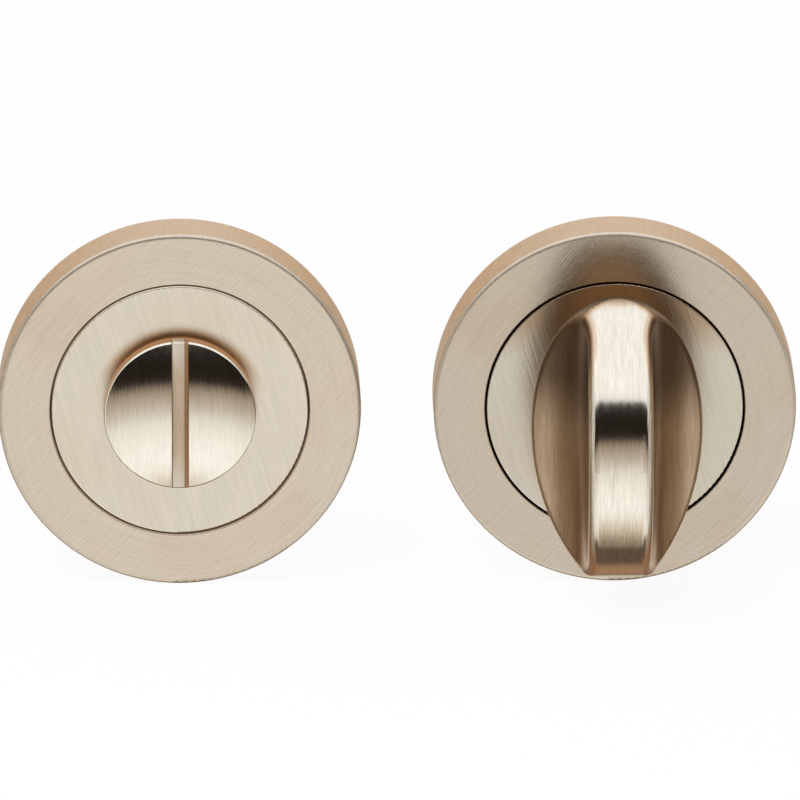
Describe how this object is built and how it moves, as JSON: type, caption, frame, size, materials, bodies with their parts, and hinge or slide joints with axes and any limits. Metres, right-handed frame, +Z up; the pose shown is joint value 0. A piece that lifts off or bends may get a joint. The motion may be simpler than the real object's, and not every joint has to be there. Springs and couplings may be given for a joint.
{
  "type": "bathroom thumb turn lock",
  "caption": "Bathroom turn and release: a scooped oval thumb turn with a square spindle, and a domed coin release, each on a round rose with a screw-on cover ring.",
  "frame": {"origin": "the thumb turn's axis at the back of its base plate, on the face of the door", "axes": "+Y into the door along the spindle, +Z up, +X away from the release, which stands beside the turn on the side of -X"},
  "size_m": [0.1144, 0.0975, 0.052],
  "materials": {
    "satin_nickel": "brass, satin nickel plated and finely brushed",
    "zinc": "die-cast zinc alloy, as cast with skimmed faces",
    "steel": "zinc plated steel",
    "spring_steel": "dark oiled spring steel",
    "nylon": "natural nylon"
  },
  "bodies": {
    "roses": {"turn_cover_ring": "satin_nickel", "turn_face_disc": "satin_nickel", "turn_base_plate": "zinc", "turn_wood_screws": "steel", "turn_bush": "nylon", "turn_thrust_washer": "nylon", "turn_spring_washer": "spring_steel", "release_cover_ring": "satin_nickel", "release_face_disc": "satin_nickel", "release_base_plate": "zinc", "release_wood_screws": "steel", "release_bush": "nylon", "release_thrust_washer": "nylon", "release_spring_washer": "spring_steel"},
    "turn": {"thumb_turn": "satin_nickel", "spindle": "steel", "spindle_pin": "spring_steel", "turn_circlip": "spring_steel"},
    "release": {"release_button": "satin_nickel", "release_circlip": "spring_steel"}
  },
  "joints": [
    {"name": "turn_rotate", "type": "hinge", "parent": "roses", "child": "turn", "pos_m": [0, 0, 0], "axis": [0, 1, 0], "range_deg": [-90, 90]},
    {"name": "release_rotate", "type": "hinge", "parent": "roses", "child": "release", "pos_m": [-0.0624, 0, 0], "axis": [0, 1, 0], "range_deg": [-90, 90]}
  ]
}
